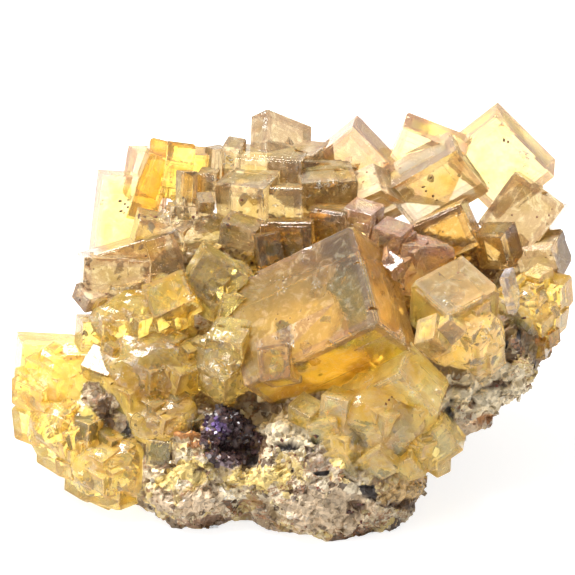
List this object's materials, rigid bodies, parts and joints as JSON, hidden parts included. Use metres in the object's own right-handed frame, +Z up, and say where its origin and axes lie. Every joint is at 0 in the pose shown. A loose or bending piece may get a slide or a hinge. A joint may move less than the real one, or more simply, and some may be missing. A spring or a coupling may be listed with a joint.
{
  "type": "fluorite specimen",
  "caption": "Mineral hand specimen: clear yellow to tan fluorite cubes with banded edges, grown over a chunk of grey quartz and rusty rock that it rests on.",
  "frame": {"origin": "on the surface that the specimen rests on, under the middle of its outer box", "axes": "+Z up, +X to the right when the crystal-covered side faces the viewer, +Y away from the viewer"},
  "size_m": [0.0902, 0.0577, 0.0504],
  "materials": {
    "yellow_fluorite": "clear, glossy crystal faces with fine growth steps",
    "pale_fluorite": "clear, glossy, almost colourless inside with a pinkish tan outer zone",
    "tan_fluorite": "clear, satin crystal faces, tan to grey-brown outer zone",
    "smoky_fluorite": "clear, dark brown, satin crystal faces",
    "clear_quartz": "clear to milky, glossy",
    "violet_fluorite": "granular, dull",
    "rock": "rough natural stone, grey quartz stained with rust and ochre"
  },
  "bodies": {
    "root": {"big_front_cube": "tan_fluorite", "ridge_block": "yellow_fluorite", "dark_framed_cube": "smoky_fluorite", "right_front_cube": "yellow_fluorite", "small_middle_cubes": "yellow_fluorite", "lower_right_cubes": "yellow_fluorite", "left_block": "tan_fluorite", "left_yellow_cubes": "yellow_fluorite", "left_olive_cube": "yellow_fluorite", "amber_prism": "yellow_fluorite", "pale_left_cube": "pale_fluorite", "small_left_columns": "yellow_fluorite", "centre_mass": "tan_fluorite", "druse_block": "smoky_fluorite", "dark_middle_cube": "smoky_fluorite", "top_tan_cube": "tan_fluorite", "back_pointed_cube": "tan_fluorite", "back_banded_cube": "pale_fluorite", "top_right_cube": "pale_fluorite", "right_tan_cube": "tan_fluorite", "right_edge_cubes": "yellow_fluorite", "quartz_sliver": "clear_quartz", "left_tip_cubes": "yellow_fluorite", "middle_left_cubes": "yellow_fluorite", "low_front_cubes": "yellow_fluorite", "purple_nodule": "violet_fluorite", "rock_matrix": "rock"}
  },
  "joints": []
}
